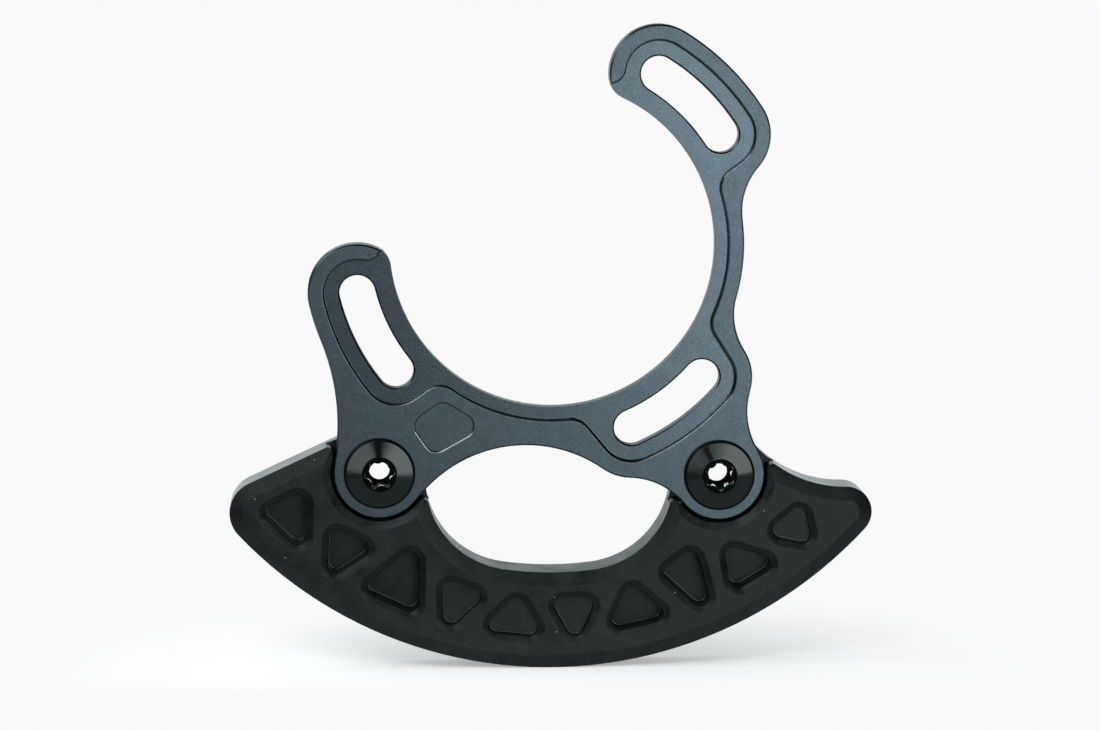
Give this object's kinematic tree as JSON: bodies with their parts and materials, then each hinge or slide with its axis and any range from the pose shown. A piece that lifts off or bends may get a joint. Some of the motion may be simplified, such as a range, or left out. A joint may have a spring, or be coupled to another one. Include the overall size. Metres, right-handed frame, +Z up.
{
  "type": "chainring guard",
  "caption": "Slotted metal backplate with an open ring for the bottom bracket, carrying a bevelled plastic crescent that shields a bicycle chainring from below.",
  "frame": {"origin": "on the bottom bracket axis, in the plane of the backplate's rear face", "axes": "+X to the right as seen from the drive side, +Y along the bottom bracket axis towards the frame, +Z up"},
  "size_m": [0.1178, 0.0096, 0.1179],
  "materials": {
    "plate": "blue-grey anodised, fine machining marks",
    "guard": "black, machined matte",
    "bolt": "turned, glossy black anodised",
    "nut": "turned, black anodised"
  },
  "bodies": {
    "root": {"backplate": "plate", "bash_guard": "guard", "left_guard_bolt": "bolt", "right_guard_bolt": "bolt", "left_guard_nut": "nut", "right_guard_nut": "nut"}
  },
  "joints": []
}
